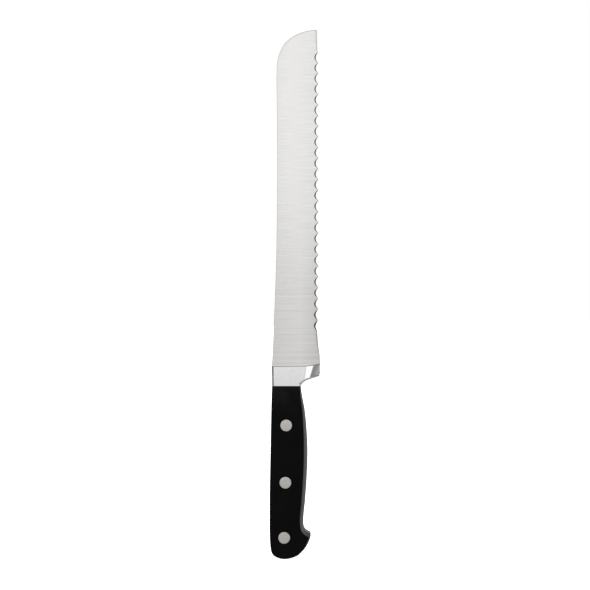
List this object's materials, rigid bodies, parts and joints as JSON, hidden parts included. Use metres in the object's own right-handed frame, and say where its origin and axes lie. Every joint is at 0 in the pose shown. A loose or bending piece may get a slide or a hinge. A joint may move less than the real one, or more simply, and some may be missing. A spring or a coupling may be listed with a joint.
{
  "type": "bread knife",
  "caption": "Forged bread knife with a scalloped edge, a rounded nose, a full bolster and a black riveted handle with a hooked butt.",
  "frame": {"origin": "centre of the bounding box in X and Y, at the butt end of the handle", "axes": "+Z from the butt to the blade's nose, +X from the spine to the cutting edge, +Y from the knife's right side to its left side; the blade's mid-plane is Y = 0"},
  "size_m": [0.0306, 0.0174, 0.32],
  "materials": {
    "forged_steel": "fine satin grind on the blade, polished bolster",
    "handle_plastic": "smooth black moulding with a low sheen",
    "rivet_metal": "ground flush with the handle, fine grind marks"
  },
  "bodies": {
    "root": {"blade_forging": "forged_steel", "right_scale": "handle_plastic", "left_scale": "handle_plastic", "front_rivet_tube": "rivet_metal", "front_rivet_pin": "rivet_metal", "middle_rivet_tube": "rivet_metal", "middle_rivet_pin": "rivet_metal", "rear_rivet_tube": "rivet_metal", "rear_rivet_pin": "rivet_metal"}
  },
  "joints": []
}
